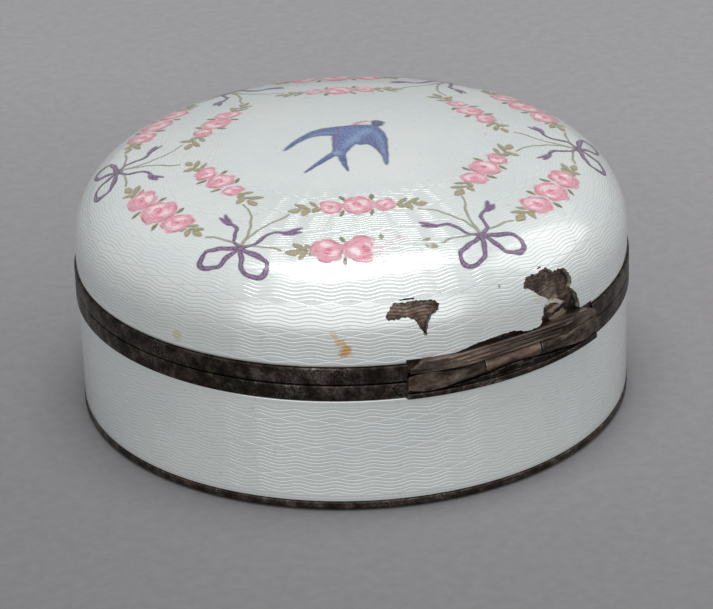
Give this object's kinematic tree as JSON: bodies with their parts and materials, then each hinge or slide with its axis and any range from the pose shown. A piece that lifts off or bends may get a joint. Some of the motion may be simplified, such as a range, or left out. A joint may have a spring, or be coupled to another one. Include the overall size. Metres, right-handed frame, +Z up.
{
  "type": "round hinged pill box",
  "caption": "Round low box with upright enamelled wall, silver rims, a domed enamelled lid painted with garlands, and a knuckle hinge on the rim.",
  "frame": {"origin": "centre of the circle the box stands on", "axes": "+Z up, hinge at +Y, thumb lip at -Y, hinge axis along X"},
  "size_m": [0.045, 0.0458, 0.0219],
  "materials": {
    "silver": "dark tarnished silver",
    "lining": "dull silver, lightly tarnished",
    "pin": "worn silver",
    "enamel": "translucent white enamel over engine turning, glossy"
  },
  "bodies": {
    "base": {"foot_ring": "silver", "base_plate": "lining", "base_wall": "lining", "base_enamel": "enamel", "base_rim": "silver", "base_bezel": "lining", "base_knuckle_left": "silver", "base_knuckle_right": "silver", "hinge_pin": "pin"},
    "lid": {"lid_rim": "silver", "lid_shell": "lining", "lid_enamel": "enamel", "thumb_lip": "silver", "lid_hinge_leaf": "silver", "lid_knuckle": "silver"}
  },
  "joints": [
    {"name": "lid_hinge", "type": "hinge", "parent": "base", "child": "lid", "pos_m": [0, 0.02165, 0.0108], "axis": [-1, 0, 0], "range_deg": [0, 85]}
  ]
}
